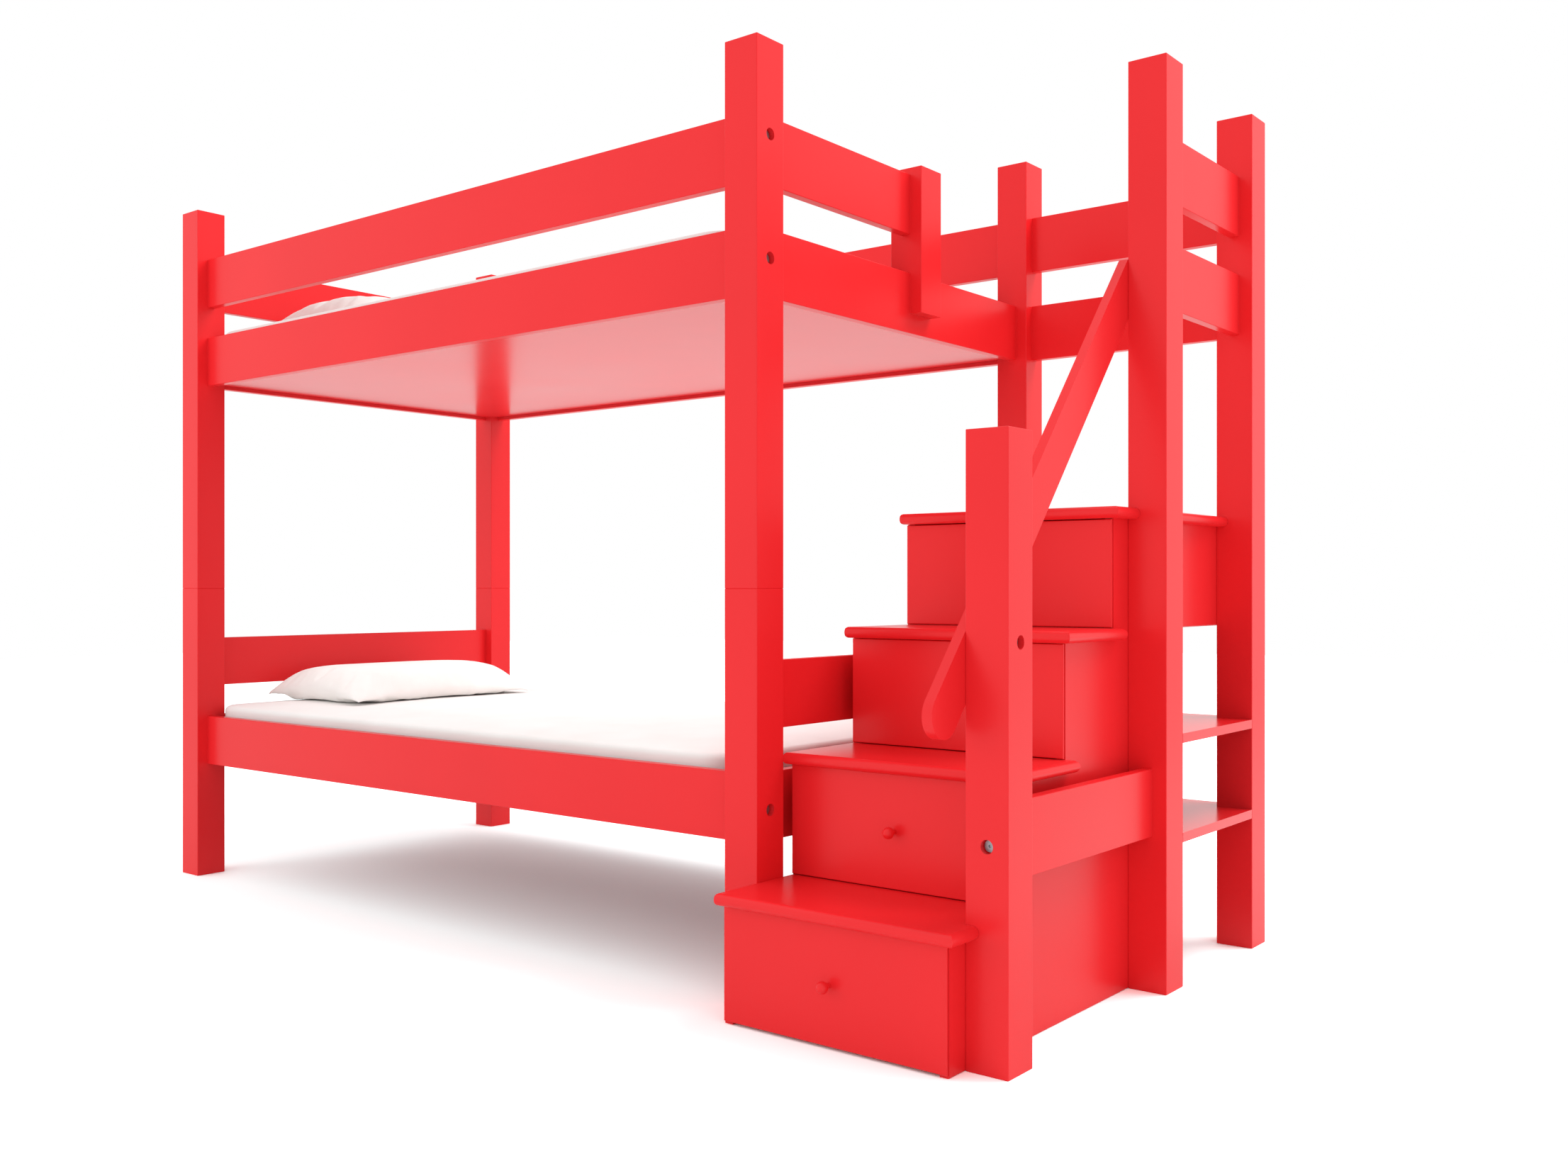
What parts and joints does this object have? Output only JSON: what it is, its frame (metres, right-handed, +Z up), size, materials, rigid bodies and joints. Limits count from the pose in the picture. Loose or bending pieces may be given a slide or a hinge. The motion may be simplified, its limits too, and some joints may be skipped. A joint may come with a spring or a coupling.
{
  "type": "bunk bed with storage stairs",
  "caption": "Twin-over-twin wooden bunk bed with a straight flight of drawer steps, a handrail and open shelves at its foot end.",
  "frame": {"origin": "on the floor, under the middle of the whole bed's outer box", "axes": "+X along the bed's length towards the stairs, +Y from the open front to the back (wall) side, +Z up"},
  "size_m": [2.6294, 1.2492, 1.829],
  "materials": {
    "red_paint": "satin sprayed paint on wood",
    "bolt_zinc": "zinc plated",
    "bare_wood": "sanded, unpainted",
    "drawer_ply": "lacquered birch",
    "mattress_cover": "white knitted cotton",
    "pillow_case": "white woven cotton"
  },
  "bodies": {
    "frame": {"drawer_runners": "bare_wood", "frame_bolts": "bolt_zinc", "gate_post": "red_paint", "guard_rail_back": "red_paint", "guard_rail_foot": "red_paint", "guard_rail_front": "red_paint", "guard_rail_head": "red_paint", "handrail": "red_paint", "lower_bed_rail_back": "red_paint", "lower_bed_rail_foot": "red_paint", "lower_bed_rail_front": "red_paint", "lower_bed_rail_head": "red_paint", "lower_bunk_board": "red_paint", "lower_end_boards": "red_paint", "lower_mattress": "mattress_cover", "lower_pillow": "pillow_case", "newel_post": "red_paint", "post_back_foot_lower": "red_paint", "post_back_foot_upper": "red_paint", "post_back_head_lower": "red_paint", "post_back_head_upper": "red_paint", "post_dowels": "bare_wood", "post_front_foot_lower": "red_paint", "post_front_foot_upper": "red_paint", "post_front_head_lower": "red_paint", "post_front_head_upper": "red_paint", "shelf_cleats": "red_paint", "shelves": "red_paint", "stair_inner_panels": "red_paint", "stair_side_inner": "red_paint", "stair_side_outer": "red_paint", "stair_side_rail": "red_paint", "tower_guard_back": "red_paint", "tower_guard_side": "red_paint", "tower_post_back": "red_paint", "tower_post_front": "red_paint", "tower_rail_back": "red_paint", "tower_rail_side": "red_paint", "tread_bottom": "red_paint", "tread_top": "red_paint", "treads_middle": "red_paint", "upper_bed_rail_back": "red_paint", "upper_bed_rail_foot": "red_paint", "upper_bed_rail_front": "red_paint", "upper_bed_rail_head": "red_paint", "upper_bunk_board": "red_paint", "upper_mattress": "mattress_cover", "upper_pillow": "pillow_case"},
    "drawer_1": {"drawer_1_front": "red_paint", "drawer_1_box": "drawer_ply", "drawer_1_knob": "red_paint"},
    "drawer_2": {"drawer_2_front": "red_paint", "drawer_2_box": "drawer_ply", "drawer_2_knob": "red_paint"},
    "drawer_3": {"drawer_3_front": "red_paint", "drawer_3_box": "drawer_ply", "drawer_3_knob": "red_paint"},
    "drawer_4": {"drawer_4_front": "red_paint", "drawer_4_box": "drawer_ply", "drawer_4_knob": "red_paint"}
  },
  "joints": [
    {"name": "drawer_1_slide", "type": "slide", "parent": "frame", "child": "drawer_1", "axis": [0, -1, 0], "range_m": [0, 0.25]},
    {"name": "drawer_2_slide", "type": "slide", "parent": "frame", "child": "drawer_2", "axis": [0, -1, 0], "range_m": [0, 0.25]},
    {"name": "drawer_3_slide", "type": "slide", "parent": "frame", "child": "drawer_3", "axis": [0, -1, 0], "range_m": [0, 0.25]},
    {"name": "drawer_4_slide", "type": "slide", "parent": "frame", "child": "drawer_4", "axis": [0, -1, 0], "range_m": [0, 0.25]}
  ]
}
